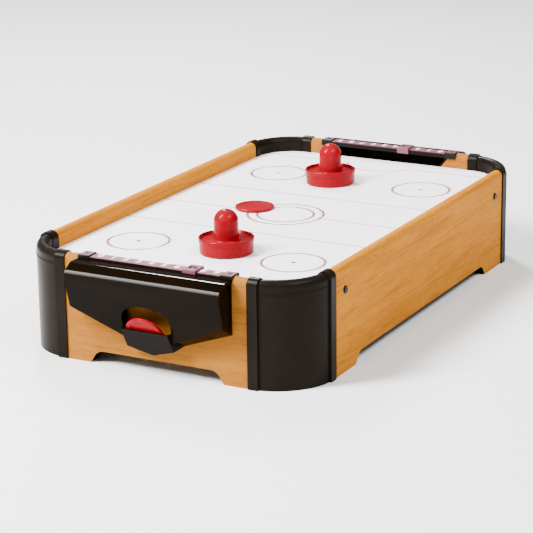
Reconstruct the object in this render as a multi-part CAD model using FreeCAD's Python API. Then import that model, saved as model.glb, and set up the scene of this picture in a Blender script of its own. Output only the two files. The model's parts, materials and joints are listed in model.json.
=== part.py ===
import FreeCAD, Part
import math
import os
from FreeCAD import Vector, Placement, Rotation

# Tabletop air hockey table, millimetres. +Z is up, X is the width and Y the length.
# The origin is on the ground under the middle of the table. "near" is the -Y goal.

# ---- driving dimensions -------------------------------------------------------------------
FRAME_L = 510.0          # frame length over the corner bands
FRAME_W = 305.0          # frame width over the corner bands
BAND_TOP = 102.0         # highest point of the frame
BAND_PROUD = 1.5         # how far a corner band stands proud of the boards
BAND_L = 10.0            # length of a corner band along the board
BAND_PLATE = 1.0         # end plate inside a band, which the board butts against
GROOVE_W, GROOVE_D = 1.0, 0.8
BOARD_T = 12.0           # thickness of the boards
CORNER_R = 56.0          # outer radius of a corner post
CORNER_SPAN = 46.0       # reach of the post along each wall, up to its band
BEAD_Z, BEAD_H = 88.0, 1.4
FIELD_TOP, FIELD_T = 85.0, 3.0
FIELD_GAP = 0.3          # between the playfield and the walls round it
AIR_PITCH, AIR_R = 17.5, 0.7
LEDGE = 12.0             # square section of the strips inside the frame
PANEL_Z, PANEL_T = 14.0, 3.0
CUT_H_SIDE, CUT_H_END = 11.0, 12.0
CUT_SIDE_LOW, CUT_SIDE_TOP = 154.0, 146.0
CUT_END_LOW, CUT_END_TOP = 69.5, 62.0
CUT_ROUND = 11.0
SCREW_Y, SCREW_Z = 176.5, 78.0
SCREW_R, HOLE_R = 1.75, 1.8
HOOD_SCREW_X, HOOD_SCREW_Z = (-71.5, 71.5), 64.0
RAIL_SCREW_X, RAIL_SCREW_R = (-73.5, 73.5), 1.1
SMALL_R = 1.2

MOUTH_LOW, MOUTH_TOP = 61.5, 70.5   # half widths of the goal mouth cut in the end board
LINER_T = 1.5
HOOD_HALF, HOOD_WALL = 79.0, 2.0
HOOD_SLOPE = 0.356       # rise of the hood's lower edge towards its ends
ARCH_HALF, ARCH_TOP = 25.0, 67.6
LIP_HALF, LIP_Z, LIP_D = 24.0, 45.0, 19.6
TRAY_BACK_HALF, TRAY_SLOPE = 31.0, 10.0 / 19.0
TRAY_WALL = 1.6
RAIL_Y, RAIL_W = 246.5, 13.0
RAIL_HALF, BLOCK_IN = 79.5, 67.5
RAIL_LOW, RAIL_TOP, BLOCK_TOP = 95.8, 99.8, 101.6
RAIL_GROOVE_Z, RAIL_GROOVE_H = 97.0, 1.4
STRIP_T = 0.6
SLIDER_W, SLIDER_T = 13.0, 1.8
SLIDER_NEAR_X, SLIDER_FAR_X = 36.7, 19.0

PUSHER_R, PUSHER_H = 26.3, 41.5
FELT_T = 1.2
PUCK_R, PUCK_T = 19.7, 2.8
PUCK_LEAN = 28.0         # lean of the scored puck from upright, out over the lip
PUCK_FOOT = 25.7         # length of that puck below the lip
PUSHER_NEAR = (11.1, -140.3)
PUSHER_FAR = (-15.6, 131.8)
PUCK_FIELD = (-38.5, 7.1)
REST_GAP = 0.05

FAN_Y = -60.0            # fan and battery box lie along the table's centre line
FAN_R, FAN_TIP, FAN_TOP = 36.0, 34.5, 39.0
MOTOR_R, MOTOR_TOP = 12.0, 50.0
GRILLE_T = 2.0
BATTERY_Y = 70.0
BOX_X, BOX_Y, BOX_TOP, BOX_WALL = 31.0, 31.5, 33.0, 1.5
FLANGE_T = 1.2
DOOR_T, DOOR_GAP = 1.3, 0.25
CELL_R, CELL_L = 7.25, 50.0
SWITCH = (-90.0, 5.0)

OUT_X, OUT_Y = FRAME_W / 2 - BAND_PROUD, FRAME_L / 2 - BAND_PROUD
IN_X, IN_Y = OUT_X - BOARD_T, OUT_Y - BOARD_T
CEN_X, CEN_Y = OUT_X - CORNER_SPAN, OUT_Y - CORNER_SPAN
BOARD_TOP = BAND_TOP - BAND_PROUD
FIELD_UNDER = FIELD_TOP - FIELD_T
PANEL_TOP = PANEL_Z + PANEL_T
GRILLE_Z = PANEL_Z - GRILLE_T
DOOR_TOP = PANEL_Z - FLANGE_T - DOOR_GAP
CELL_Z = DOOR_TOP + 0.3 + CELL_R
SEAT = FIELD_TOP + REST_GAP


# ---- helpers ------------------------------------------------------------------------------
def box(x0, x1, y0, y1, z0, z1):
    return Part.makeBox(x1 - x0, y1 - y0, z1 - z0, Vector(x0, y0, z0))


def rod(radius, start, end):
    start, end = Vector(*start), Vector(*end)
    return Part.makeCylinder(radius, (end - start).Length, start, end - start)


def fused(shapes):
    shapes = list(shapes)
    whole = shapes[0].multiFuse(shapes[1:]) if len(shapes) > 1 else shapes[0]
    return whole.removeSplitter()


def prism(points, vector):
    """A solid from a closed outline of points, pushed along a vector."""
    outline = [Vector(*p) for p in points]
    face = Part.Face(Part.makePolygon(outline + outline[:1]))
    return face.extrude(Vector(*vector))


def rounded_plate(half_x, half_y, radius, z0, z1):
    """An upright slab with a rounded rectangular outline."""
    slab = box(-half_x, half_x, -half_y, half_y, z0, z1)
    upright = [e for e in slab.Edges if abs(e.Vertexes[0].Z - e.Vertexes[-1].Z) > 1]
    return slab.makeFillet(radius, upright)


def turned(outline, centre):
    """A solid of revolution about a vertical axis. Entries are (r, z) or an arc's middle and end."""
    edges, at = [], Vector(outline[0][0], 0, outline[0][1])
    for step in outline[1:]:
        if len(step) == 4:
            middle, end = Vector(step[0], 0, step[1]), Vector(step[2], 0, step[3])
            edges.append(Part.Arc(at, middle, end).toShape())
        else:
            end = Vector(step[0], 0, step[1])
            edges.append(Part.makeLine(at, end))
        at = end
    first = Vector(outline[0][0], 0, outline[0][1])
    if (at - first).Length > 1e-6:
        edges.append(Part.makeLine(at, first))
    solid = Part.Face(Part.Wire(edges)).revolve(Vector(0, 0, 0), Vector(0, 0, 1), 360)
    solid = Part.Solid(solid) if solid.ShapeType != "Solid" else solid
    solid.translate(Vector(centre[0], centre[1], 0))
    return solid


def far(shape):
    """The same piece turned round to the far end of the table."""
    return shape.rotated(Vector(0, 0, 0), Vector(0, 0, 1), 180)


def mirror_x(shape):
    return shape.mirror(Vector(0, 0, 0), Vector(1, 0, 0))


def mirror_y(shape):
    return shape.mirror(Vector(0, 0, 0), Vector(0, 1, 0))


# ---- frame --------------------------------------------------------------------------------
def wall_face(proud, along):
    """Upright wall section with a full round top, centred on 0 across the wall."""
    half = BOARD_T / 2 + proud
    spring = BOARD_TOP + proud - half
    a, b = Vector(-half, along, 0), Vector(half, along, 0)
    c, d = Vector(half, along, spring), Vector(-half, along, spring)
    top = Vector(0, along, spring + half)
    edges = [Part.makeLine(a, b), Part.makeLine(b, c), Part.Arc(c, top, d).toShape(), Part.makeLine(d, a)]
    return Part.Face(Part.Wire(edges))


def wall_run(proud, start, length):
    """A straight stretch of wall along +Y."""
    return wall_face(proud, start).extrude(Vector(0, length, 0))


def foot_cutout(low, top, height):
    """Trapezoid through a wall that runs along Y, with its two upper corners rounded."""
    cut = prism([(-20, -low, 0), (-20, low, 0), (-20, top, height), (-20, -top, height)], (40, 0, 0))
    upper = [e for e in cut.Edges if all(abs(v.Z - height) < 1e-6 for v in e.Vertexes)
             and abs(e.Vertexes[0].X - e.Vertexes[-1].X) > 1]
    return cut.makeFillet(CUT_ROUND, upper)


def side_board():
    half = CEN_Y - GROOVE_W - BAND_PLATE
    wall = wall_run(0.0, -half, 2 * half).cut(foot_cutout(CUT_SIDE_LOW, CUT_SIDE_TOP, CUT_H_SIDE))
    wall.translate(Vector(OUT_X - BOARD_T / 2, 0, 0))
    return wall.cut(fused(side_screw_holes()))


def side_screw_holes():
    return [rod(HOLE_R, (IN_X - LEDGE, y, SCREW_Z), (OUT_X + 1, y, SCREW_Z)) for y in (-SCREW_Y, SCREW_Y)]


def end_wall():
    """Near end wall before its mouth is cut."""
    half = CEN_X - GROOVE_W - BAND_PLATE
    wall = wall_run(0.0, -half, 2 * half)
    wall = wall.cut(foot_cutout(CUT_END_LOW, CUT_END_TOP, CUT_H_END))
    wall.rotate(Vector(0, 0, 0), Vector(0, 0, 1), -90)
    wall.translate(Vector(0, -(OUT_Y - BOARD_T / 2), 0))
    return wall


def mouth(inset):
    """Goal mouth in the near end wall: widens upwards, with rounded lower corners."""
    low_z, top_z = FIELD_TOP - LINER_T + inset, BAND_TOP + 10.0
    flare = (MOUTH_TOP - MOUTH_LOW) / (96.0 - FIELD_TOP)
    low = MOUTH_LOW - inset
    top = low + flare * (top_z - low_z)
    y0, depth = -OUT_Y - 5, BOARD_T + 10
    cut = prism([(-low, y0, low_z), (low, y0, low_z), (top, y0, top_z), (-top, y0, top_z)], (0, depth, 0))
    lower = [e for e in cut.Edges if all(abs(v.Z - low_z) < 1e-6 for v in e.Vertexes)
             and abs(e.Vertexes[0].Y - e.Vertexes[-1].Y) > 1]
    return cut.makeFillet(6.5 - inset, lower)


def end_board():
    holes = [rod(HOLE_R, (x, -OUT_Y - 1, HOOD_SCREW_Z), (x, -IN_Y + 1, HOOD_SCREW_Z)) for x in HOOD_SCREW_X]
    holes += [rod(RAIL_SCREW_R + 0.05, (x, -RAIL_Y, 87.5), (x, -RAIL_Y, 110)) for x in RAIL_SCREW_X]
    return end_wall().cut(mouth(0.0)).cut(fused(holes))


def corner_post():
    """Near right post: a quarter-round wall, and a saddle band round the end of each board."""
    middle = CORNER_R - BOARD_T / 2
    section = wall_face(0.0, 0.0)
    section.translate(Vector(middle, 0, 0))
    quarter = section.revolve(Vector(0, 0, 0), Vector(0, 0, 1), -90)
    bead = Part.makeCylinder(CORNER_R + 0.5, BEAD_H, Vector(0, 0, BEAD_Z), Vector(0, 0, 1), 90)
    bead = bead.cut(Part.makeCylinder(CORNER_R - 2, BEAD_H, Vector(0, 0, BEAD_Z)))
    bead.rotate(Vector(0, 0, 0), Vector(0, 0, 1), -90)
    inset = CORNER_R - CORNER_SPAN
    curve = fused([quarter, bead]).common(box(inset, CORNER_R + 1, -CORNER_R - 1, -inset, 0, BAND_TOP))
    curve.translate(Vector(-inset, inset, 0))
    middle = CORNER_SPAN - BOARD_T / 2
    web = wall_run(-GROOVE_D, 0.0, GROOVE_W)
    saddle = wall_run(BAND_PROUD, GROOVE_W, BAND_L)
    saddle = saddle.cut(wall_run(0.0, GROOVE_W + BAND_PLATE, BAND_L))
    beside_field = box(-2 * BOARD_T, -BOARD_T / 2, 0, 2 * BAND_L, -1, FIELD_TOP + REST_GAP)
    arm = fused([web, saddle.cut(beside_field)])
    arm.translate(Vector(middle, 0, 0))
    other_arm = arm.mirror(Vector(0, 0, 0), Vector(1, 1, 0))
    post = fused([curve, arm, other_arm])
    post.translate(Vector(CEN_X, -CEN_Y, 0))
    return post


def ledges(z0):
    """The four strips inside the frame with their undersides at z0: right, left, near, far."""
    side = box(IN_X - LEDGE, IN_X, -CEN_Y + 8, CEN_Y - 8, z0, z0 + LEDGE)
    end = box(-CEN_X + 5, CEN_X - 5, -IN_Y, -IN_Y + LEDGE, z0, z0 + LEDGE)
    return side, mirror_x(side), end, mirror_y(end)


def playfield():
    half_x, half_y = IN_X - FIELD_GAP, IN_Y - FIELD_GAP
    radius = CORNER_R - BOARD_T - FIELD_GAP
    across, along = int(half_x // AIR_PITCH), int(half_y // AIR_PITCH)
    slab = rounded_plate(half_x, half_y, radius, FIELD_UNDER, FIELD_TOP)
    outline = [f for f in slab.Faces if abs(f.CenterOfMass.z - FIELD_UNDER) < 1e-6][0].OuterWire
    loops = [outline]
    for i in range(-across, across + 1):
        for j in range(-along, along + 1):
            x, y = i * AIR_PITCH, j * AIR_PITCH
            if abs(x) > half_x - radius and abs(y) > half_y - radius:
                continue
            circle = Part.makeCircle(AIR_R, Vector(x, y, FIELD_UNDER))
            loops.append(Part.Wire([circle]))
    face = Part.Face(loops, "Part::FaceMakerBullseye")
    return face.extrude(Vector(0, 0, FIELD_T))


def bottom_panel():
    half_x, half_y, radius = IN_X - FIELD_GAP, IN_Y - FIELD_GAP, CORNER_R - BOARD_T - FIELD_GAP
    slab = rounded_plate(half_x, half_y, radius, PANEL_Z, PANEL_TOP)
    battery = box(-BOX_X - 0.2, BOX_X + 0.2, BATTERY_Y - BOX_Y - 0.2, BATTERY_Y + BOX_Y + 0.2, 0, 40)
    sx, sy = SWITCH
    switch = box(sx - 7.2, sx + 7.2, sy - 4.2, sy + 4.2, 0, 40)
    fan = Part.makeCylinder(FAN_R, 40, Vector(0, FAN_Y, 0))
    holes = [rod(HOLE_R, (x, y, 0), (x, y, 40)) for x, y in panel_screw_places()]
    small_screws = grille_screw_places() + box_screw_places()
    holes += [rod(SMALL_R + 0.05, (x, y, 0), (x, y, 40)) for x, y in small_screws]
    return slab.cut(fused([battery, switch, fan] + holes))


def support_blocks():
    block = box(66, 84, 111, 129, PANEL_TOP, FIELD_UNDER)
    return Part.makeCompound([block, mirror_x(block), mirror_y(block), mirror_x(mirror_y(block))])


# ---- fasteners ----------------------------------------------------------------------------
def screw(place, direction, head_r, shank_r, length, head_h=1.8):
    """Pan head screw. place is the seat under the head, direction the way the shank points."""
    shank = Part.makeCylinder(shank_r, length)
    head = Part.makeCylinder(head_r, head_h, Vector(0, 0, -head_h))
    rim = [e for e in head.Edges if abs(e.BoundBox.ZMax + head_h) < 1e-6 and e.Closed]
    head = head.makeFillet(head_h * 0.45, rim)
    reach, width, depth = head_r * 0.55, head_r * 0.12, head_h * 0.5
    slots = [box(-reach, reach, -width, width, -head_h, -head_h + depth),
             box(-width, width, -reach, reach, -head_h, -head_h + depth)]
    whole = fused([head.cut(fused(slots)), shank])
    whole.Placement = Placement(Vector(*place), Rotation(Vector(0, 0, 1), Vector(*direction)))
    return whole


def side_board_screws():
    return Part.makeCompound([screw((s * OUT_X, y, SCREW_Z), (-s, 0, 0), 3.4, SCREW_R, 21)
                              for s in (-1, 1) for y in (-SCREW_Y, SCREW_Y)])


def panel_screw_places():
    side = IN_X - LEDGE / 2
    end = IN_Y - LEDGE / 2
    places = [(s * side, y) for s in (-1, 1) for y in (-180, -60, 60, 180)]
    return places + [(x, s * end) for s in (-1, 1) for x in (-60, 60)]


def panel_screws():
    return Part.makeCompound([screw((x, y, PANEL_Z), (0, 0, 1), 3.2, SCREW_R, 12)
                              for x, y in panel_screw_places()])


def grille_screw_places():
    angles = [math.radians(45 + 90 * k) for k in range(4)]
    return [(40.0 * math.cos(a), FAN_Y + 40.0 * math.sin(a)) for a in angles]


def grille_screws():
    return Part.makeCompound([screw((x, y, GRILLE_Z), (0, 0, 1), 2.3, SMALL_R, 6.5, 1.4)
                              for x, y in grille_screw_places()])


def box_screw_places():
    return [(x, BATTERY_Y + y) for x in (-41, 41) for y in (-26, 26)]


def battery_box_screws():
    length = FLANGE_T + PANEL_T
    return Part.makeCompound([screw((x, y, PANEL_Z - FLANGE_T), (0, 0, 1), 2.3, SMALL_R, length, 1.4)
                              for x, y in box_screw_places()])


# ---- goals --------------------------------------------------------------------------------
def hood_block(half, inset):
    """The hood's outer form, shrunk by inset on every side but the board's."""
    slope = (24.0 - 16.8) / (85.5 - 57.0)
    outline = [(-10, 98.5), (13.2, 98.3), (23.4, 92.3), (24.0, 85.5),
               (24.0 - slope * 65.5, 20.0), (-10, 20.0)]
    points = [Vector(-half, -OUT_Y - d, z) for d, z in outline]
    face = Part.Face(Part.makePolygon(points + points[:1]))
    if inset:
        face = Part.Face(face.makeOffset2D(-inset).Wires[0])
    block = face.extrude(Vector(2 * half, 0, 0))
    if not inset:
        for index, radius in ((1, 4.0), (2, 4.5), (3, 5.0)):
            d, z = outline[index]
            ridge = [e for e in block.Edges
                     if all(abs(v.Z - z) < 1e-6 and abs(v.Y + OUT_Y + d) < 1e-6 for v in e.Vertexes)]
            block = block.makeFillet(radius, ridge)
    lift = inset * 1.25
    back, front = -OUT_Y + 12, -OUT_Y - 40
    below = [(0, back, 12.7 + lift), (0, front, 42.9 + lift), (0, front, -60), (0, back, -60)]
    wedge = prism(below, (120, 0, 120 * HOOD_SLOPE))
    return block.cut(fused([wedge, mirror_x(wedge)]))


def arch():
    """Opening in the hood's front, over the tray."""
    half = ARCH_HALF
    y = -OUT_Y - 40
    pts = [(half + 0.4, 0), (half, 50.0), (half - 1.5, 58.5), (16.5, 64.6), (6.0, ARCH_TOP)]
    p = [Vector(x, y, z) for x, z in pts]
    m = [Vector(-x, y, z) for x, z in pts]
    edges = [Part.makeLine(p[0], p[1]), Part.Arc(p[1], p[2], p[3]).toShape(), Part.makeLine(p[3], p[4]),
             Part.makeLine(p[4], m[4]), Part.makeLine(m[4], m[3]), Part.Arc(m[3], m[2], m[1]).toShape(),
             Part.makeLine(m[1], m[0]), Part.makeLine(m[0], p[0])]
    return Part.Face(Part.Wire(edges)).extrude(Vector(0, 60, 0))


def tray_form(wall):
    """The cup's outer form, or its hollow when wall is more than 0."""
    shift = wall * 1.15
    front_d = LIP_D - shift
    top = LIP_Z + (1.0 if wall else 0.0)
    half, back_half = LIP_HALF - wall, TRAY_BACK_HALF - wall
    back_d = -1.0 if wall else 0.0

    def on_front(x, z):
        return Vector(x, -OUT_Y - (front_d - (LIP_Z - z) * TRAY_SLOPE), z)

    corner, vertex = 26.0 + wall * 1.2, 19.0 + wall * 1.2
    front = [on_front(-half, top), on_front(half, top), on_front(half, corner), on_front(0, vertex),
             on_front(-half, corner)]
    shoulder, toe = 31.0 + wall, 16.8 + wall
    back = [Vector(x, -OUT_Y - back_d, z) for x, z in
            ((-back_half, top), (back_half, top), (back_half, shoulder), (0, toe), (-back_half, shoulder))]
    wires = [Part.makePolygon(points + points[:1]) for points in (front, back)]
    return Part.makeLoft(wires, True, True)


def puck_tray():
    return tray_form(0.0).cut(tray_form(TRAY_WALL))


def hood_bore(radius, x, near, far_end):
    """Rod along a hood screw, between two distances out from the end board."""
    return rod(radius, (x, -OUT_Y - near, HOOD_SCREW_Z), (x, -OUT_Y - far_end, HOOD_SCREW_Z))


def goal_hood():
    outer = hood_block(HOOD_HALF, 0.0).common(box(-100, 100, -OUT_Y - 60, -OUT_Y, 0, 120))
    shell = outer.cut(hood_block(HOOD_HALF - HOOD_WALL, HOOD_WALL))
    recess = hood_block(HOOD_HALF + 1, 3.2).cut(box(-HOOD_HALF + 0.8, HOOD_HALF - 0.8, -400, 0, 0, 120))
    recess = recess.common(box(-100, 100, -OUT_Y - 60, -OUT_Y - 2.5, 0, 120))
    jamb = box(ARCH_HALF + 0.4, ARCH_HALF + 2.2, -OUT_Y - 40, -OUT_Y - 6, 30, ARCH_TOP).common(outer)
    bosses = [hood_bore(4.0, x, 0, 40).common(outer) for x in HOOD_SCREW_X]
    shell = shell.cut(recess)
    shell = fused([shell, jamb, mirror_x(jamb)] + bosses)
    pilots = [hood_bore(HOLE_R, x, -1, 13) for x in HOOD_SCREW_X]
    return shell.cut(fused([arch(), tray_form(0.0)] + pilots))


def hood_screws():
    return Part.makeCompound([screw((x, -IN_Y, HOOD_SCREW_Z), (0, -1, 0), 3.2, SCREW_R, 24)
                              for x in HOOD_SCREW_X])


def goal_liner():
    ring = mouth(0.0).cut(mouth(LINER_T))
    between = box(-100, 100, -OUT_Y, -IN_Y, 0, RAIL_LOW - 0.7)
    holes = [rod(RAIL_SCREW_R + 0.05, (x, -RAIL_Y, 80), (x, -RAIL_Y, 110)) for x in RAIL_SCREW_X]
    return ring.common(between).common(end_wall()).cut(fused(holes))


def score_rail():
    """Bar over the goal mouth. Its two end blocks sit astride the end board."""
    inner, outer = -RAIL_Y + RAIL_W / 2, -RAIL_Y - RAIL_W / 2
    bar = box(-RAIL_HALF + 1, RAIL_HALF - 1, outer, inner, RAIL_LOW, RAIL_TOP)
    block = box(BLOCK_IN, RAIL_HALF, -OUT_Y, inner + 0.3, RAIL_LOW - 0.7, BLOCK_TOP)
    top = [e for e in block.Edges if all(abs(v.Z - BLOCK_TOP) < 1e-6 for v in e.Vertexes)]
    block = block.makeFillet(0.8, top)
    rail = fused([bar, block, mirror_x(block)])
    lip = BLOCK_IN - 0.4
    rail = rail.cut(box(-lip, lip, inner - 0.9, inner + 1, RAIL_GROOVE_Z, RAIL_GROOVE_Z + RAIL_GROOVE_H))
    pads = [grown_pad(s, 0.05) for s in (-1, 1)]
    holes = [rod(RAIL_SCREW_R + 0.05, (x, -RAIL_Y, 90), (x, -RAIL_Y, 110)) for x in RAIL_SCREW_X]
    return rail.cut(fused(pads + holes)).cut(end_wall())


def grown_pad(side, grow):
    x = side * RAIL_SCREW_X[1]
    half_x, half_y = 4.9 + grow, 5.0 + grow
    return box(x - half_x, x + half_x, -RAIL_Y - half_y, -RAIL_Y + half_y, BLOCK_TOP - 0.6, BLOCK_TOP)


def score_strip():
    """Printed strip on the rail, with a small pad let into each end block."""
    half = BLOCK_IN - 0.3
    strip = box(-half, half, -RAIL_Y - 5.9, -RAIL_Y + 5.9, RAIL_TOP, RAIL_TOP + STRIP_T)
    pads = [grown_pad(s, 0.0).cut(rod(2.3, (x, -RAIL_Y, 90), (x, -RAIL_Y, 110)))
            for s, x in zip((-1, 1), RAIL_SCREW_X)]
    return Part.makeCompound([strip] + pads)


def rail_screws():
    return Part.makeCompound([screw((x, -RAIL_Y, BLOCK_TOP - 0.6), (0, 0, -1), 2.0, RAIL_SCREW_R, 12.5, 0.9)
                              for x in RAIL_SCREW_X])


def score_slider(x):
    """Clip over the rail, held by a rib in the rail's inner groove, with a window over the strip."""
    x0, x1 = x - SLIDER_W / 2, x + SLIDER_W / 2
    inner, outer = -RAIL_Y + RAIL_W / 2 + 0.35, -RAIL_Y - RAIL_W / 2 - 0.35
    low = RAIL_TOP + STRIP_T + 0.3
    top = low + SLIDER_T
    plate = box(x0, x1, outer - 1.5, inner + 1.5, low, top)
    inner_leg = box(x0, x1, inner, inner + 1.5, RAIL_LOW + 0.2, low)
    outer_leg = box(x0, x1, outer - 1.5, outer, 98.9, low)
    body = fused([plate, inner_leg, outer_leg])
    upper = [e for e in body.Edges if all(abs(v.Z - top) < 1e-6 for v in e.Vertexes)]
    body = body.makeFillet(0.6, upper)
    rib = box(x0, x1, inner - 0.9, inner, RAIL_GROOVE_Z + 0.3, RAIL_GROOVE_Z + RAIL_GROOVE_H - 0.3)
    window = box(x - 4.2, x + 4.2, -RAIL_Y - 3.4, -RAIL_Y + 3.4, low - 1, top + 1)
    return fused([body, rib]).cut(window)


# ---- playing pieces -----------------------------------------------------------------------
def dome_middle(radius, drop, top):
    """Middle (r, z) of the arc from a dome's crown to its edge, centred on the axis."""
    ball = (radius * radius + drop * drop) / (2 * drop)
    half = math.asin(radius / ball) / 2
    return ball * math.sin(half), top - ball * (1 - math.cos(half))


def pusher(centre):
    """Hollow moulded pusher: a rimmed dish with a round-topped knob."""
    low, high = SEAT + FELT_T, SEAT + PUSHER_H
    rim = SEAT + 15.0
    knob, drop = 11.5, 9.5
    outside = [(23.4, low), (25.4, low), (25.6, rim - 4.4), (26.1, rim - 3.8), (PUSHER_R, rim - 1.0),
               (26.1, rim - 0.2, 25.5, rim), (24.9, rim - 0.1, 24.5, rim - 0.7), (23.2, rim - 2.6),
               (14.2, rim - 3.2), (12.6, rim - 2.5, 12.0, rim - 0.8), (knob, rim + 8.0),
               (knob, high - drop), (*dome_middle(knob, drop, high), 0.0, high)]
    crown, hollow, hollow_drop = high - 2.2, 9.4, 7.6
    inside = [(0.0, crown), (*dome_middle(hollow, hollow_drop, crown), hollow, crown - hollow_drop),
              (9.7, rim - 5.2), (22.0, rim - 4.8), (23.4, rim - 6.2)]
    return turned(outside + inside, centre)


def felt(centre):
    pad = Part.makeCylinder(25.0, FELT_T, Vector(centre[0], centre[1], SEAT))
    low = [e for e in pad.Edges if e.Closed and abs(e.BoundBox.ZMax - SEAT) < 1e-6]
    return pad.makeChamfer(0.3, low)


def flat_puck():
    """Puck lying on z = 0: rounded edge, shallow dish on both faces inside a raised rim."""
    r, t, dish = PUCK_R, PUCK_T, 0.5
    return turned([(0, dish), (r - 4.6, dish), (r - 4.0, 0), (r - 0.7, 0), (r - 0.1, 0.3, r, 0.9),
                   (r, t - 0.9), (r - 0.1, t - 0.3, r - 0.7, t), (r - 4.0, t), (r - 4.6, t - dish),
                   (0, t - dish)], (0, 0))


def puck_on_field():
    puck = flat_puck()
    puck.translate(Vector(PUCK_FIELD[0], PUCK_FIELD[1], SEAT))
    return puck


def puck_in_tray():
    """A scored puck on edge in the near cup, leaning out over the lip."""
    lean = math.radians(PUCK_LEAN)
    up = Vector(0, -math.sin(lean), math.cos(lean))
    back = Vector(0, math.cos(lean), math.sin(lean))
    lip = Vector(0, -OUT_Y - (LIP_D - TRAY_WALL * 1.15), LIP_Z)
    foot = lip + back * 0.35 - up * PUCK_FOOT
    puck = flat_puck()
    puck.Placement = Placement(foot + up * PUCK_R + Vector(-1.5, 0, 0), Rotation(Vector(0, 0, 1), back))
    return puck


# ---- air supply ---------------------------------------------------------------------------
def fan_frame():
    """Duct with a flange on the panel, and a three-armed cup that holds the motor."""
    def disc(radius, z0, z1):
        return Part.makeCylinder(radius, z1 - z0, Vector(0, FAN_Y, z0))

    duct = disc(44.5, PANEL_TOP, PANEL_TOP + 2).fuse(disc(FAN_R + 2, PANEL_TOP, FAN_TOP))
    duct = duct.cut(disc(FAN_R, 0, 60))
    cup = disc(MOTOR_R + 2, FAN_TOP - 4, FAN_TOP + 3)
    arms = []
    for k in range(3):
        arm = box(MOTOR_R, FAN_R + 1, -2, 2, FAN_TOP - 4, FAN_TOP)
        arm.rotate(Vector(0, 0, 0), Vector(0, 0, 1), 90 + 120 * k)
        arm.translate(Vector(0, FAN_Y, 0))
        arms.append(arm)
    holes = [rod(SMALL_R + 0.05, (x, y, 0), (x, y, 40)) for x, y in grille_screw_places()]
    return fused([duct, cup] + arms).cut(fused([disc(MOTOR_R + 0.05, 0, 60)] + holes))


def fan_motor():
    low = FAN_TOP - 7
    can = Part.makeCylinder(MOTOR_R, MOTOR_TOP - low - 2, Vector(0, FAN_Y, low))
    can = can.makeFillet(1.0, [e for e in can.Edges if e.Closed and e.BoundBox.ZMax < low + 1])
    cap = Part.makeCylinder(MOTOR_R - 1.0, 2, Vector(0, FAN_Y, MOTOR_TOP - 2))
    tabs = [box(x - 1.5, x + 1.5, FAN_Y - 0.3, FAN_Y + 0.3, MOTOR_TOP - 0.01, MOTOR_TOP + 3) for x in (-6, 6)]
    bore = Part.makeCylinder(1.05, 8, Vector(0, FAN_Y, low - 1))
    return fused([can, cap] + tabs).cut(bore)


def motor_shaft():
    return rod(1.0, (0, FAN_Y, PANEL_TOP + 3.5), (0, FAN_Y, FAN_TOP - 1))


def fan_impeller():
    """Five pitched blades on a capped hub, pressed on the motor's shaft."""
    low, high = PANEL_TOP + 2.0, PANEL_TOP + 12.0
    hub = Part.makeCylinder(9.0, high - low, Vector(0, 0, low))
    hub = hub.makeFillet(2.5, [e for e in hub.Edges if e.Closed and e.BoundBox.ZMax < low + 0.1])
    blade = box(7.0, FAN_TIP, -9.0, 9.0, -0.8, 0.8)
    blade.rotate(Vector(0, 0, 0), Vector(1, 0, 0), 28)
    blade.translate(Vector(0, 0, (low + high) / 2))
    sweep = Part.makeCylinder(FAN_TIP, 40, Vector(0, 0, 0))
    blades = []
    for k in range(5):
        turned_blade = blade.common(sweep)
        turned_blade.rotate(Vector(0, 0, 0), Vector(0, 0, 1), 72 * k)
        blades.append(turned_blade)
    fan = fused([hub] + blades)
    fan.translate(Vector(0, FAN_Y, 0))
    return fan.cut(rod(1.0, (0, FAN_Y, PANEL_TOP + 3.5), (0, FAN_Y, 60)))


def fan_grille():
    """Finger guard under the fan: rings joined by four spokes."""
    def ring(outer, inner):
        disc = Part.makeCylinder(outer, GRILLE_T, Vector(0, FAN_Y, GRILLE_Z))
        return disc.cut(Part.makeCylinder(inner, 40, Vector(0, FAN_Y, 0))) if inner else disc

    rings = [ring(44.0, 34.0), ring(30.5, 28.0), ring(24.5, 22.0), ring(18.5, 16.0), ring(12.0, 0)]
    spokes = []
    for k in range(2):
        spoke = box(-35, 35, -1.5, 1.5, GRILLE_Z, PANEL_Z)
        spoke.rotate(Vector(0, 0, 0), Vector(0, 0, 1), 90 * k)
        spoke.translate(Vector(0, FAN_Y, 0))
        spokes.append(spoke)
    holes = [rod(SMALL_R + 0.05, (x, y, 0), (x, y, 40)) for x, y in grille_screw_places()]
    return fused(rings + spokes).cut(fused(holes))


def battery_box():
    """Box let up through the panel, with a flange and two door rails below it."""
    wall, y = BOX_WALL, BATTERY_Y
    low = PANEL_Z - FLANGE_T
    outer = box(-BOX_X, BOX_X, y - BOX_Y, y + BOX_Y, low, BOX_TOP)
    flange = box(-46, 46, y - 37, y + 37, low, PANEL_Z)
    hollow = box(-BOX_X + wall, BOX_X - wall, y - BOX_Y + wall, y + BOX_Y - wall, 0, BOX_TOP - wall)
    rails = []
    for s in (-1, 1):
        x0, x1 = sorted((s * 33.3, s * 35.3))
        lip0, lip1 = sorted((s * 31.0, s * 35.3))
        foot = low - 2 * DOOR_GAP - DOOR_T
        rails += [box(x0, x1, y - 36, y + 36, foot - 1.2, low),
                  box(lip0, lip1, y - 36, y + 36, foot - 1.2, foot)]
    stop = box(-33.3, 33.3, y - 36, y - 34.5, low - 2 * DOOR_GAP - DOOR_T, low)
    holes = [rod(SMALL_R + 0.05, (hx, hy, 0), (hx, hy, 40)) for hx, hy in box_screw_places()]
    return fused([outer, flange, stop] + rails).cut(fused([hollow] + holes))


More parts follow.
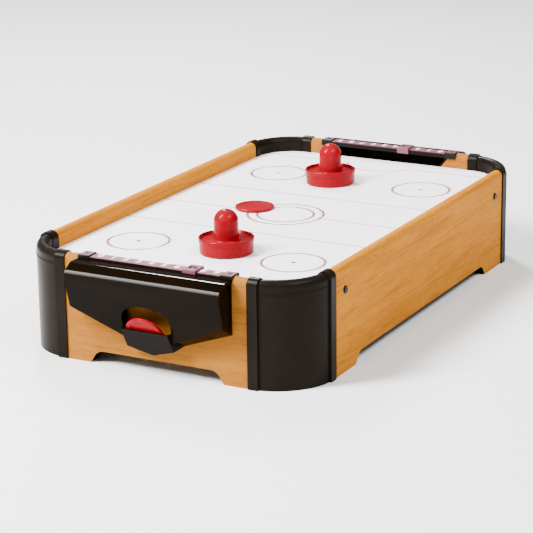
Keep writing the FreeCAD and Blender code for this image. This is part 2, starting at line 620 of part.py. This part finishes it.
def battery_door():
    """Sliding door with a thumb grip; it leaves along +Y."""
    y0, y1 = BATTERY_Y - 34.2, BATTERY_Y + 35.0
    door = box(-33.0, 33.0, y0, y1, DOOR_TOP - DOOR_T, DOOR_TOP)
    ribs = [box(-9, 9, y1 - 8 - 2.2 * k, y1 - 7 - 2.2 * k, DOOR_TOP - DOOR_T - 0.7, DOOR_TOP - DOOR_T + 0.1)
            for k in range(5)]
    return fused([door] + ribs)


def cell_places():
    pitch = 2 * CELL_R + 0.3
    return [BATTERY_Y + pitch * (k - 1.5) for k in range(4)]


def battery_cells():
    """Four AA cells side by side, every other one turned round."""
    cells = []
    for k, y in enumerate(cell_places()):
        s = 1 if k % 2 else -1
        body = rod(CELL_R, (-s * CELL_L / 2, y, CELL_Z), (s * (CELL_L / 2 - 1), y, CELL_Z))
        body = body.makeFillet(0.6, [e for e in body.Edges if e.Closed])
        cells.append(body.fuse(rod(2.7, (s * (CELL_L / 2 - 1.5), y, CELL_Z), (s * CELL_L / 2, y, CELL_Z))))
    return Part.makeCompound(cells)


def battery_contacts():
    """A plate at each end of each cell, and a sprung stud at each flat end."""
    end = BOX_X - BOX_WALL
    pieces = []
    for k, y in enumerate(cell_places()):
        s = 1 if k % 2 else -1
        for side in (-1, 1):
            x0, x1 = sorted((side * end, side * (end - 0.5)))
            plate = box(x0, x1, y - 5, y + 5, CELL_Z - 5, CELL_Z + 5)
            if side == -s:
                seat = Vector(-s * (end - 0.5), y, CELL_Z)
                stud = Part.makeCone(4.0, 2.6, end - 0.5 - CELL_L / 2, seat, Vector(s, 0, 0))
            else:
                stud = rod(2.0, (s * CELL_L / 2, y, CELL_Z), (s * (end - 0.5), y, CELL_Z))
            pieces.append(fused([plate, stud]))
    return Part.makeCompound(pieces)


def switch_housing():
    x, y = SWITCH
    body = box(x - 7, x + 7, y - 4, y + 4, PANEL_Z - 0.01, PANEL_TOP + 7)
    bezel = box(x - 11, x + 11, y - 6.5, y + 6.5, PANEL_Z - 1.2, PANEL_Z)
    bezel = bezel.makeFillet(1.5, [e for e in bezel.Edges if abs(e.Vertexes[0].Z - e.Vertexes[-1].Z) > 1])
    slot = box(x - 5, x + 5, y - 1.9, y + 1.9, PANEL_Z - 2, PANEL_TOP + 2)
    return fused([body, bezel]).cut(slot)


def switch_lever():
    x, y = SWITCH[0] - 2.2, SWITCH[1]
    stem = box(x - 2.2, x + 2.2, y - 1.5, y + 1.5, PANEL_Z - 3.6, PANEL_TOP + 1.5)
    lower = [e for e in stem.Edges if all(abs(v.Z - (PANEL_Z - 3.6)) < 1e-6 for v in e.Vertexes)]
    return stem.makeFillet(0.5, lower)


def lead(points, radius=0.8, bend=6.0):
    """Insulated wire along straight runs joined by tangent arcs."""
    points = [Vector(*p) for p in points]
    edges, at = [], points[0]
    for before, corner, after in zip(points, points[1:], points[2:]):
        a, b = (before - corner).normalize(), (after - corner).normalize()
        half = (math.pi - a.getAngle(b)) / 2
        cut = bend * math.tan(half)
        start, end = corner + a * cut, corner + b * cut
        bisector = (a + b).normalize()
        middle = corner + bisector * (bend / math.cos(half) - bend)
        edges += [Part.makeLine(at, start), Part.Arc(start, middle, end).toShape()]
        at = end
    edges.append(Part.makeLine(at, points[-1]))
    path = Part.Wire(edges)
    circle = Part.Wire([Part.makeCircle(radius, points[0], points[1] - points[0])])
    return path.makePipeShell([circle], True, False)


LEAD_Z = PANEL_TOP + 1.2


def lead_red():
    """Motor to battery box."""
    wall = BATTERY_Y - BOX_Y
    return lead([(6, FAN_Y, MOTOR_TOP + 3), (6, FAN_Y, 62), (6, -6, 62), (6, -6, LEAD_Z), (6, wall, LEAD_Z)])


def lead_black():
    """Motor to switch, and switch to battery box."""
    x, y = SWITCH
    first = lead([(-6, FAN_Y, MOTOR_TOP + 3), (-6, FAN_Y, 62), (-6, -6, 62), (-6, -6, LEAD_Z),
                  (-50, y - 2, LEAD_Z), (x + 7, y - 2, LEAD_Z)])
    second = lead([(x, y + 4, LEAD_Z), (x, BATTERY_Y, LEAD_Z), (-BOX_X, BATTERY_Y, LEAD_Z)], bend=12.0)
    return Part.makeCompound([first, second])


# ---- nodes --------------------------------------------------------------------------------
def all_nodes():
    right, near_end, post = side_board(), end_board(), corner_post()
    field_ledges, panel_ledges = ledges(FIELD_UNDER - LEDGE), ledges(PANEL_TOP)
    side_holes = fused(side_screw_holes())
    side_holes = fused([side_holes, mirror_x(side_holes)])
    panel_holes = fused([rod(HOLE_R, (x, y, 0), (x, y, PANEL_Z + 12.2)) for x, y in panel_screw_places()])
    nodes = {
        "side_board_right": right,
        "side_board_left": mirror_x(right),
        "end_board_near": near_end,
        "end_board_far": far(near_end),
        "corner_post_near_right": post,
        "corner_post_near_left": mirror_x(post),
        "corner_post_far_right": mirror_y(post),
        "corner_post_far_left": far(post),
        "playfield": playfield(),
        "bottom_panel": bottom_panel(),
        "support_blocks": support_blocks(),
        "side_board_screws": side_board_screws(),
        "panel_screws": panel_screws(),
        "pusher_near": pusher(PUSHER_NEAR),
        "pusher_far": pusher(PUSHER_FAR),
        "pusher_felt_near": felt(PUSHER_NEAR),
        "pusher_felt_far": felt(PUSHER_FAR),
        "puck_on_field": puck_on_field(),
        "puck_in_tray": puck_in_tray(),
        "fan_frame": fan_frame(),
        "fan_motor": fan_motor(),
        "motor_shaft": motor_shaft(),
        "fan_impeller": fan_impeller(),
        "fan_grille": fan_grille(),
        "grille_screws": grille_screws(),
        "battery_box": battery_box(),
        "battery_box_screws": battery_box_screws(),
        "battery_door": battery_door(),
        "battery_cells": battery_cells(),
        "battery_contacts": battery_contacts(),
        "switch_housing": switch_housing(),
        "switch_lever": switch_lever(),
        "lead_red": lead_red(),
        "lead_black": lead_black(),
        "score_slider_near": score_slider(SLIDER_NEAR_X),
        "score_slider_far": far(score_slider(-SLIDER_FAR_X)),
    }
    for side, upper, lower in zip(("right", "left", "near", "far"), field_ledges, panel_ledges):
        nodes["field_ledge_" + side] = upper.cut(side_holes)
        nodes["panel_ledge_" + side] = lower.cut(panel_holes)
    goal = {"goal_hood": goal_hood(), "puck_tray": puck_tray(), "goal_liner": goal_liner(),
            "hood_screws": hood_screws(), "score_rail": score_rail(), "score_strip": score_strip(),
            "rail_screws": rail_screws()}
    for name, shape in goal.items():
        nodes[name + "_near"] = shape
        nodes[name + "_far"] = far(shape)
    return nodes


def main():
    os.makedirs("parts", exist_ok=True)
    for name, shape in all_nodes().items():
        shape.exportStep("parts/" + name + ".step")


main()
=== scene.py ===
import json
import math

import bpy
from mathutils import Matrix, Vector


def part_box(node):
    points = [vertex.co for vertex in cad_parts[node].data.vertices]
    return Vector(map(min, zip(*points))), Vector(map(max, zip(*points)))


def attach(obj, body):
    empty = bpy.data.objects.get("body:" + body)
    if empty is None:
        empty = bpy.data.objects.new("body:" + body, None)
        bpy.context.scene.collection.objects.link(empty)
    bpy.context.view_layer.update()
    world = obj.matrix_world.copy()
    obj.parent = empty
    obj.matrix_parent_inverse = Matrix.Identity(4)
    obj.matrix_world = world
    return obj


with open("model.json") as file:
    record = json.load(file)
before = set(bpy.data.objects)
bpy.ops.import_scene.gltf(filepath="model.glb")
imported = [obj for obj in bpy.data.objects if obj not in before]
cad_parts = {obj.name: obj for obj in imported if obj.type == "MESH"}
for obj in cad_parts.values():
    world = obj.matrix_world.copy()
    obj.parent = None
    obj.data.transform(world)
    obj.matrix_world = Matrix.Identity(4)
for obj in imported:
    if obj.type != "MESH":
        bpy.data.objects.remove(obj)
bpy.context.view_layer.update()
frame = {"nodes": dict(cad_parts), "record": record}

ENDS = ("near", "far")


# ---- shaders ------------------------------------------------------------------------------
def rgb(red, green, blue):
    """Linear colour with full alpha."""
    return red, green, blue, 1.0


def srgb(red, green, blue):
    """Linear colour from the 0 to 255 values of a screen colour."""
    def linear(value):
        value /= 255.0
        return value / 12.92 if value <= 0.04045 else ((value + 0.055) / 1.055) ** 2.4
    return linear(red), linear(green), linear(blue), 1.0


class Shader:
    """A Principled material with short calls for the nodes that feed it."""

    def __init__(self, name, color, **sockets):
        self.material = bpy.data.materials.new(name)
        self.material.use_nodes = True
        self.tree = self.material.node_tree
        self.surface = self.tree.nodes["Principled BSDF"]
        self.surface.inputs["Base Color"].default_value = color
        for socket, value in sockets.items():
            self.surface.inputs[socket.replace("_", " ")].default_value = value
        self.coords = self.tree.nodes.new("ShaderNodeTexCoord").outputs["Object"]

    def feed(self, socket, value):
        """Puts a number, colour or node output into an input socket."""
        if isinstance(value, bpy.types.NodeSocket):
            self.tree.links.new(value, socket)
        else:
            socket.default_value = value

    def node(self, kind, inputs=(), **settings):
        """Adds a node, sets its properties and feeds its inputs."""
        made = self.tree.nodes.new("ShaderNode" + kind)
        for key, value in settings.items():
            setattr(made, key, value)
        for key, value in dict(inputs).items():
            self.feed(made.inputs[key], value)
        return made

    def place(self, stretch=(1, 1, 1), shift=(0, 0, 0), turn=(0, 0, 0)):
        """Object coordinates, stretched, shifted and turned."""
        inputs = {"Vector": self.coords, "Scale": stretch, "Location": shift, "Rotation": turn}
        return self.node("Mapping", inputs).outputs[0]

    def noise(self, vector, scale, detail=3.0, rough=0.5, distort=0.0):
        inputs = {"Vector": vector, "Scale": scale, "Detail": detail, "Roughness": rough,
                  "Distortion": distort}
        return self.node("TexNoise", inputs).outputs[0]

    def cells(self, vector, scale):
        """Distance to the nearest of a scatter of points."""
        return self.node("TexVoronoi", {"Vector": vector, "Scale": scale}).outputs[0]

    def math(self, operation, first, second=0.0):
        return self.node("Math", {0: first, 1: second}, operation=operation).outputs[0]

    def span(self, value, low, high, to_low=0.0, to_high=1.0):
        """Maps low..high to to_low..to_high and clamps."""
        inputs = {"Value": value, "From Min": low, "From Max": high, "To Min": to_low, "To Max": to_high}
        return self.node("MapRange", inputs).outputs[0]

    def mix(self, factor, first, second, blend="MIX"):
        made = self.node("Mix", data_type="RGBA", blend_type=blend)
        self.feed(made.inputs[0], factor)
        self.feed(made.inputs[6], first)
        self.feed(made.inputs[7], second)
        return made.outputs[2]

    def split(self, vector):
        return self.node("SeparateXYZ", {"Vector": vector}).outputs

    def bump(self, height, distance, strength=1.0):
        inputs = {"Height": height, "Distance": distance, "Strength": strength}
        self.feed(self.surface.inputs["Normal"], self.node("Bump", inputs).outputs[0])

    def color(self, value):
        self.feed(self.surface.inputs["Base Color"], value)

    def roughness(self, value):
        self.feed(self.surface.inputs["Roughness"], value)


# ---- materials ----------------------------------------------------------------------------
def wood_wrap(name, grain, tones):
    """Oak-grain film, its grain along x or y, near-black on every face that points downward."""
    light, middle, streak_tone, pore_tone, edge = tones
    skin = Shader(name, middle, Specular_IOR_Level=0.01)

    def along(squeeze):
        return (1, squeeze, squeeze) if grain == "x" else (squeeze, 1, squeeze)

    broad = skin.noise(skin.place(along(9), shift=(0.3, 0.1, 0.7)), 6.0, 4.0, 0.55, 1.2)
    wave = skin.noise(skin.place(along(20)), 14.0, 4.0, 0.6, 0.8)
    fine = skin.noise(skin.place(along(36)), 46.0, 3.0, 0.7)
    pores = skin.noise(skin.place(along(14)), 190.0, 2.0, 0.5)
    tone = skin.mix(skin.span(broad, 0.3, 0.7), light, middle)
    tone = skin.mix(skin.span(wave, 0.5, 0.7, 0.0, 0.5), tone, streak_tone)
    tone = skin.mix(skin.span(fine, 0.5, 0.7, 0.0, 0.5), tone, streak_tone)
    tone = skin.mix(skin.span(pores, 0.56, 0.7, 0.0, 0.55), tone, pore_tone)
    rise = skin.split(skin.node("NewGeometry").outputs["Normal"])[2]
    # Every face that points downward takes the near-black fifth tone.
    skin.color(skin.mix(skin.math("LESS_THAN", rise, -0.3), tone, edge))
    skin.roughness(skin.span(wave, 0.3, 0.75, 0.34, 0.5))
    skin.bump(skin.math("SUBTRACT", fine, skin.math("MULTIPLY", pores, 0.6)), 0.00012, 0.5)
    return skin.material


def moulded(name, color, roughness, grain=900.0, depth=0.00004, **sockets):
    """Moulded plastic with a fine spark-eroded texture and slight uneven gloss."""
    skin = Shader(name, color, Roughness=roughness, **sockets)
    texture = skin.noise(skin.place(), grain, 3.0, 0.6)
    patch = skin.noise(skin.place(), 22.0, 3.0, 0.55)
    light = tuple(min(1.0, c * 1.25 + 0.003) for c in color[:3]) + (1.0,)
    skin.color(skin.mix(skin.span(patch, 0.3, 0.7, 0.0, 0.5), color, light))
    skin.roughness(skin.span(patch, 0.3, 0.7, roughness - 0.04, roughness + 0.05))
    skin.bump(texture, depth, 0.6)
    return skin.material


def gloss_black():
    """High gloss moulding: faint flow ripple, hairline scuffs, and a painted highlight on the ridge
    noses and crest, where specular level and roughness rise by slope.
    """
    skin = Shader("gloss_black", srgb(18, 15, 12))
    ripple = skin.noise(skin.place((1, 1.5, 2.5)), 14.0, 2.0, 0.4)
    scuff = skin.noise(skin.place((1, 30, 30), turn=(0.1, 0.3, 0.5)), 40.0, 2.0, 0.6)
    deep, pale = rgb(0.0026, 0.0013, 0.0004), rgb(0.0044, 0.0022, 0.0008)
    skin.color(skin.mix(skin.span(ripple, 0.3, 0.7), deep, pale))
    rise = skin.split(skin.node("NewGeometry").outputs["Normal"])[2]
    # Painted highlight: bands picked by which way the surface faces reflect more strongly and more
    # broadly.
    highlight_nose = skin.math("MULTIPLY", skin.span(rise, 0.12, 0.28), skin.span(rise, 0.84, 0.70))
    highlight_crest = skin.math("MULTIPLY", skin.span(rise, 0.90, 0.94), skin.span(rise, 0.995, 0.98))
    edge = skin.math("MAXIMUM", highlight_nose, highlight_crest)
    skin.feed(skin.surface.inputs["Specular IOR Level"], skin.span(edge, 0.0, 1.0, 0.035, 0.5))
    polish = skin.span(scuff, 0.62, 0.8, 0.06, 0.2)
    skin.roughness(skin.math("ADD", polish, skin.math("MULTIPLY", highlight_nose, 0.5)))
    skin.bump(ripple, 0.0002, 0.25)
    return skin.material


def red_plastic():
    """Deep red gloss polystyrene with hairline wear and a fine pebble in the gloss."""
    skin = Shader("red_plastic", rgb(0.20, 0.0006, 0.005), Roughness=0.14, Specular_IOR_Level=0.06)
    patch = skin.noise(skin.place(), 35.0, 3.0, 0.5)
    scratch = skin.noise(skin.place((1, 18, 3), turn=(0, 0, 0.7)), 90.0, 3.0, 0.6)
    skin.color(skin.mix(skin.span(patch, 0.3, 0.7), rgb(0.19, 0.0002, 0.004), rgb(0.235, 0.0005, 0.007)))
    skin.roughness(skin.span(scratch, 0.6, 0.78, 0.13, 0.34))
    skin.bump(skin.noise(skin.place(), 420.0, 2.0, 0.5), 0.00003, 0.35)
    return skin.material


# Marks printed on the field, in metres from the middle of the table.
LINE = 0.0009            # half the width of a printed line
RING = 0.0014            # half the width of a printed ring
CENTRE_RINGS = (0.028, 0.0378)
CORNER_SPOT = (0.0826, 0.1438)
CORNER_RING, CORNER_DOT = 0.0294, 0.0023
BLUE_LINE_Y, GOAL_LINE_Y = 0.0718, 0.2165
CREASE_Y, CREASE_R = 0.2345, 0.0405


def field_film():
    """White printed film: thin red rink lines, rings and dots, and a faint orange-peel gloss."""
    skin = Shader("field_film", rgb(0.9, 0.88, 0.9), Specular_IOR_Level=0.05)
    x, y, _ = skin.split(skin.coords)
    ax, ay = skin.math("ABSOLUTE", x), skin.math("ABSOLUTE", y)

    def distance(px, py, cx, cy):
        dx, dy = skin.math("SUBTRACT", px, cx), skin.math("SUBTRACT", py, cy)
        square = skin.math("ADD", skin.math("MULTIPLY", dx, dx), skin.math("MULTIPLY", dy, dy))
        return skin.math("SQRT", square)

    def stroke(value, at, half=LINE):
        return skin.math("LESS_THAN", skin.math("ABSOLUTE", skin.math("SUBTRACT", value, at)), half)

    middle, spot = distance(x, y, 0, 0), distance(ax, ay, *CORNER_SPOT)
    crease = distance(x, ay, 0, CREASE_Y)
    outside_rings = skin.math("GREATER_THAN", middle, CENTRE_RINGS[1])
    outside_crease = skin.math("GREATER_THAN", crease, CREASE_R)
    inside_goal_line = skin.math("LESS_THAN", ay, GOAL_LINE_Y)
    rings = [stroke(middle, r, RING) for r in CENTRE_RINGS] + [stroke(spot, CORNER_RING, RING)]
    lines = [skin.math("MULTIPLY", stroke(ay, 0, LINE), outside_rings), stroke(ay, BLUE_LINE_Y),
             skin.math("MULTIPLY", stroke(ay, GOAL_LINE_Y), outside_crease),
             skin.math("MULTIPLY", stroke(crease, CREASE_R), inside_goal_line)]

    def union(masks):
        whole = masks[0]
        for mask in masks[1:]:
            whole = skin.math("MAXIMUM", whole, mask)
        return whole

    worn = skin.span(skin.noise(skin.place(), 260.0, 2.0, 0.5), 0.35, 0.65, 0.75, 1.0)
    haze = skin.noise(skin.place(), 7.0, 3.0, 0.5)
    base = skin.mix(skin.span(haze, 0.3, 0.7), rgb(0.97, 0.91, 0.92), rgb(0.93, 0.86, 0.875))
    base = skin.mix(skin.math("MULTIPLY", union(lines), worn), base, rgb(0.24, 0.08, 0.12))
    base = skin.mix(skin.math("MULTIPLY", union(rings), worn), base, rgb(0.13, 0.003, 0.022))
    skin.color(skin.mix(skin.math("LESS_THAN", spot, CORNER_DOT), base, rgb(0.05, 0.002, 0.006)))
    skin.bump(skin.noise(skin.place(), 300.0, 2.0, 0.5), 0.00002, 0.4)
    skin.roughness(skin.span(haze, 0.3, 0.7, 0.32, 0.42))
    return skin.material


def raw_board():
    """Bare fibreboard: matted fibres and darker chips."""
    skin = Shader("raw_board", srgb(150, 118, 84), Roughness=0.85)
    fibre = skin.noise(skin.place((1, 1, 3)), 420.0, 5.0, 0.75)
    chip = skin.cells(skin.place((1, 1, 2)), 260.0)
    cloud = skin.noise(skin.place(), 12.0, 3.0, 0.5)
    tone = skin.mix(skin.span(fibre, 0.35, 0.65), srgb(128, 98, 68), srgb(172, 140, 102))
    tone = skin.mix(skin.span(chip, 0.0, 0.25, 0.5, 0.0), tone, srgb(98, 72, 50))
    skin.color(skin.mix(skin.span(cloud, 0.35, 0.7, 0.0, 0.3), tone, srgb(120, 92, 66)))
    skin.bump(fibre, 0.0002, 0.6)
    return skin.material


def rail_print(name, tone, shade):
    """Pale mauve that stands in for the glossy strip's grazing reflection, a painted reflection,
    slightly mottled under satin film.
    """
    skin = Shader(name, tone, Specular_IOR_Level=0.15)
    mottle = skin.noise(skin.place(), 240.0, 3.0, 0.6)
    skin.color(skin.mix(skin.span(mottle, 0.35, 0.65), tone, shade))
    skin.roughness(skin.span(mottle, 0.3, 0.7, 0.34, 0.48))
    skin.bump(mottle, 0.00003, 0.4)
    return skin.material


def felt():
    """Dark grey felt with matted fibres."""
    skin = Shader("felt", srgb(40, 40, 42), Roughness=0.95, Sheen_Weight=0.4, Sheen_Roughness=0.5)
    fibre = skin.noise(skin.place((1, 1, 2)), 900.0, 5.0, 0.8, 1.5)
    skin.color(skin.mix(skin.span(fibre, 0.35, 0.65), srgb(26, 26, 28), srgb(64, 64, 68)))
    skin.bump(fibre, 0.0003, 0.8)
    return skin.material


def metal(name, color, roughness, brushed=(1, 1, 1)):
    """Plated steel with a fine drawn grain and light handling marks."""
    skin = Shader(name, color, Metallic=1.0, Roughness=roughness)
    grain = skin.noise(skin.place(brushed), 500.0, 3.0, 0.6)
    stain = skin.noise(skin.place(), 60.0, 3.0, 0.6)
    dark = tuple(c * 0.7 for c in color[:3]) + (1.0,)
    skin.color(skin.mix(skin.span(stain, 0.4, 0.75, 0.0, 0.6), color, dark))
    skin.roughness(skin.span(grain, 0.3, 0.7, roughness - 0.08, roughness + 0.12))
    skin.bump(grain, 0.00002, 0.4)
    return skin.material


def cell_jacket():
    """Plain jacket in two tones, with bare steel at the ends of each cell."""
    skin = Shader("cell_jacket", srgb(40, 48, 66), Roughness=0.3, Coat_Weight=0.5, Coat_Roughness=0.1)
    reach = skin.math("ABSOLUTE", skin.split(skin.coords)[0])
    ink = skin.noise(skin.place(), 300.0, 2.0, 0.5)
    blue = skin.mix(skin.span(ink, 0.4, 0.6), srgb(36, 44, 62), srgb(46, 56, 76))
    tone = skin.mix(skin.math("GREATER_THAN", reach, 0.0170), blue, srgb(176, 120, 62))
    skin.color(skin.mix(skin.math("GREATER_THAN", reach, 0.0236), tone, srgb(190, 190, 188)))
    return skin.material


def insulation(name, color):
    """Soft wire insulation in one tint with darker patches."""
    skin = Shader(name, color, Roughness=0.45)
    patch = skin.noise(skin.place(), 130.0, 2.0, 0.5)
    dark = tuple(c * 0.75 for c in color[:3]) + (1.0,)
    skin.color(skin.mix(skin.span(patch, 0.35, 0.65), color, dark))
    skin.bump(patch, 0.00005, 0.4)
    return skin.material


SATIN_BLACK = rgb(0.0062, 0.0040, 0.0024)
DOWNWARD_FACE_BLACK = rgb(0.003, 0.0025, 0.002)
# Wood film tones: light, middle, streak, pore, and the near-black of every face that points downward.
# The end and side sets are one film; they differ in tone to make up for how each board is lit: painted
# light and shade.
END_TONES = (
    rgb(0.36, 0.143, 0.022), rgb(0.28, 0.102, 0.013), rgb(0.19, 0.063, 0.006),
    rgb(0.13, 0.040, 0.006), DOWNWARD_FACE_BLACK)
SIDE_TONES = (
    rgb(0.54, 0.205, 0.010), rgb(0.43, 0.150, 0.006), rgb(0.25, 0.076, 0.003),
    rgb(0.14, 0.036, 0.002), DOWNWARD_FACE_BLACK)
# Score strip colour, a painted reflection: pale mauve tone and darker mottle.
PAINTED_REFLECTION_MAUVE = (rgb(0.19, 0.070, 0.088), rgb(0.14, 0.048, 0.064))


def dress_cad_nodes():
    """Gives every CAD node its material."""
    by_slot = {
        "corner_plastic": moulded("corner_plastic", SATIN_BLACK, 0.3, 1100.0, 0.00005,
                                  Specular_IOR_Level=0.04),
        "field_film": field_film(),
        "raw_board": raw_board(),
        "gloss_black": gloss_black(),
        "rail_plastic": moulded("rail_plastic", SATIN_BLACK, 0.3, 1200.0, 0.00002,
                                Specular_IOR_Level=0.1),
        "rail_print": rail_print("rail_print", *PAINTED_REFLECTION_MAUVE),
        "screw_steel": metal("screw_steel", srgb(44, 42, 40), 0.35),
        "red_plastic": red_plastic(),
        "felt": felt(),
        "black_moulding": moulded("black_moulding", SATIN_BLACK, 0.42, 800.0),
        "impeller_plastic": moulded("impeller_plastic", srgb(214, 214, 206), 0.4, 700.0),
        "motor_steel": metal("motor_steel", srgb(176, 178, 180), 0.3, (1, 1, 12)),
        "cell_jacket": cell_jacket(),
        "contact_metal": metal("contact_metal", srgb(200, 198, 190), 0.25),
        "lead_red": insulation("lead_red", srgb(186, 30, 28)),
        "lead_black": insulation("lead_black", srgb(30, 29, 28)),
    }
    # Two tone sets of one film, for painted light and shade on the end and side boards.
    across = wood_wrap("wood_wrap_ends", "x", END_TONES)
    lengthwise = wood_wrap("wood_wrap_sides", "y", SIDE_TONES)
    for part in frame["record"]["subparts"]:
        node, slot = frame["nodes"][part["node"]], part["material_slot"]
        if slot == "wood_wrap":
            material = across if part["node"].startswith("end") else lengthwise
        else:
            material = by_slot[slot]
        node.data.materials.clear()
        node.data.materials.append(material)


# ---- score numbers ------------------------------------------------------------------------
NUMBER_COUNT, NUMBER_SIZE = 10, 0.0105
NUMBER_REACH = 0.0596    # from the middle of the strip to its last number
NUMBER_SHIFT = 0.0012    # numbers sit this far off the strip's centre line
STRIP_TOP = 0.1004       # height of the strip's printed face, below the tops of its end blocks
NUMBER_LIFT = 0.00004    # and the numbers' height above it


def number_mesh(text):
    """A thin raised numeral, centred on the origin."""
    curve = bpy.data.curves.new("number", "FONT")
    curve.body, curve.size = text, NUMBER_SIZE
    curve.align_x, curve.align_y = "CENTER", "CENTER"
    curve.extrude, curve.offset = 0.00003, 0.0003
    curve.resolution_u = 6
    holder = bpy.data.objects.new("number", curve)
    bpy.context.scene.collection.objects.link(holder)
    bpy.context.view_layer.update()
    mesh = bpy.data.meshes.new_from_object(holder)
    bpy.data.objects.remove(holder)
    return mesh


def score_numbers(end, material):
    """White numbers along one score strip, read from outside that end."""
    low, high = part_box("score_strip_" + end)
    rail_y = (low.y + high.y) / 2
    turn = Matrix.Rotation(0.0 if end == "near" else math.pi, 4, "Z")
    verts, faces = [], []
    for k in range(NUMBER_COUNT):
        mesh = number_mesh(str(k))
        x = NUMBER_REACH * (2 * k / (NUMBER_COUNT - 1) - 1) * (1 if end == "near" else -1)
        place = Matrix.Translation((x, rail_y + NUMBER_SHIFT, STRIP_TOP + NUMBER_LIFT)) @ turn
        base = len(verts)
        verts += [place @ v.co for v in mesh.vertices]
        faces += [[base + i for i in p.vertices] for p in mesh.polygons]
    mesh = bpy.data.meshes.new("score_numbers_" + end)
    mesh.from_pydata(verts, [], faces)
    mesh.materials.append(material)
    piece = bpy.data.objects.new("score_numbers_" + end, mesh)
    bpy.context.scene.collection.objects.link(piece)
    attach(piece, "table")


def white_ink():
    """White ink, worn pink in places."""
    skin = Shader("white_ink", srgb(236, 232, 232), Roughness=0.45)
    worn = skin.noise(skin.place(), 500.0, 3.0, 0.6)
    skin.color(skin.mix(skin.span(worn, 0.45, 0.8), srgb(240, 236, 236), srgb(214, 196, 200)))
    skin.bump(worn, 0.00002, 0.3)
    return skin.material


# ---- studio -------------------------------------------------------------------------------
FLOOR_REACH = 6.0
FLOOR_WHITE = srgb(244, 244, 243)


def floor():
    """Plain pale floor."""
    mesh = bpy.data.meshes.new("floor")
    corners = [(-1, -1), (1, -1), (1, 1), (-1, 1)]
    mesh.from_pydata([(x * FLOOR_REACH, y * FLOOR_REACH, 0) for x, y in corners], [], [(0, 1, 2, 3)])
    skin = Shader("floor", FLOOR_WHITE, Roughness=0.7)
    mesh.materials.append(skin.material)
    obj = bpy.data.objects.new("floor", mesh)
    bpy.context.scene.collection.objects.link(obj)


def softbox(name, direction, distance, size, power):
    """A white panel light that faces the table."""
    light = bpy.data.lights.new(name, "AREA")
    light.shape = "RECTANGLE"
    light.size, light.size_y = size
    light.energy = power
    obj = bpy.data.objects.new(name, light)
    obj.location = LIGHT_AIM + distance * Vector(direction)
    obj.rotation_euler = (LIGHT_AIM - obj.location).to_track_quat("-Z", "Y").to_euler()
    bpy.context.scene.collection.objects.link(obj)


SURROUND = 0.3           # strength of the even light from all round
LIGHT_AIM = Vector((0, -0.1, 0.08))
# name, direction from the aim, distance, width and height, watts
SOFTBOXES = (
    ("key", (-0.452, -0.537, 0.712), 2.2, (0.45, 1.3), 200),
    ("back", (-0.452, 0.585, 0.6735), 2.2, (0.3, 0.7), 57),
    ("side", (0.60, -0.12, 0.79), 2.6, (1.6, 0.9), 80),
)


def studio():
    """Soft even surround with a panel for each long highlight and one for the side boards."""
    world = bpy.data.worlds.new("studio")
    world.use_nodes = True
    background = world.node_tree.nodes["Background"]
    background.inputs["Color"].default_value = (1, 1, 1, 1)
    background.inputs["Strength"].default_value = SURROUND
    bpy.context.scene.world = world
    for box in SOFTBOXES:
        softbox(*box)


# Where the lens stands, in metres, and which way its right and up sides point.
EYE = Vector((0.9068, -1.7328, 0.6257))
VIEW_RIGHT = Vector((0.88307, 0.46907, -0.01268))
VIEW_UP = Vector((-0.12576, 0.26263, 0.95667))
SENSOR_MM, LENS_MM = 36.0, 138.2


def camera():
    """Long lens that looks down at the table from beyond its near right corner."""
    data = bpy.data.cameras.new("camera")
    data.sensor_width, data.lens = SENSOR_MM, LENS_MM
    data.clip_end = 50.0
    obj = bpy.data.objects.new("camera", data)
    turn = Matrix((VIEW_RIGHT, VIEW_UP, VIEW_RIGHT.cross(VIEW_UP))).transposed().to_4x4()
    obj.matrix_world = Matrix.Translation(EYE) @ turn
    bpy.context.scene.collection.objects.link(obj)
    bpy.context.scene.camera = obj


camera()
dress_cad_nodes()
ink = white_ink()
for end in ENDS:
    score_numbers(end, ink)
floor()
studio()
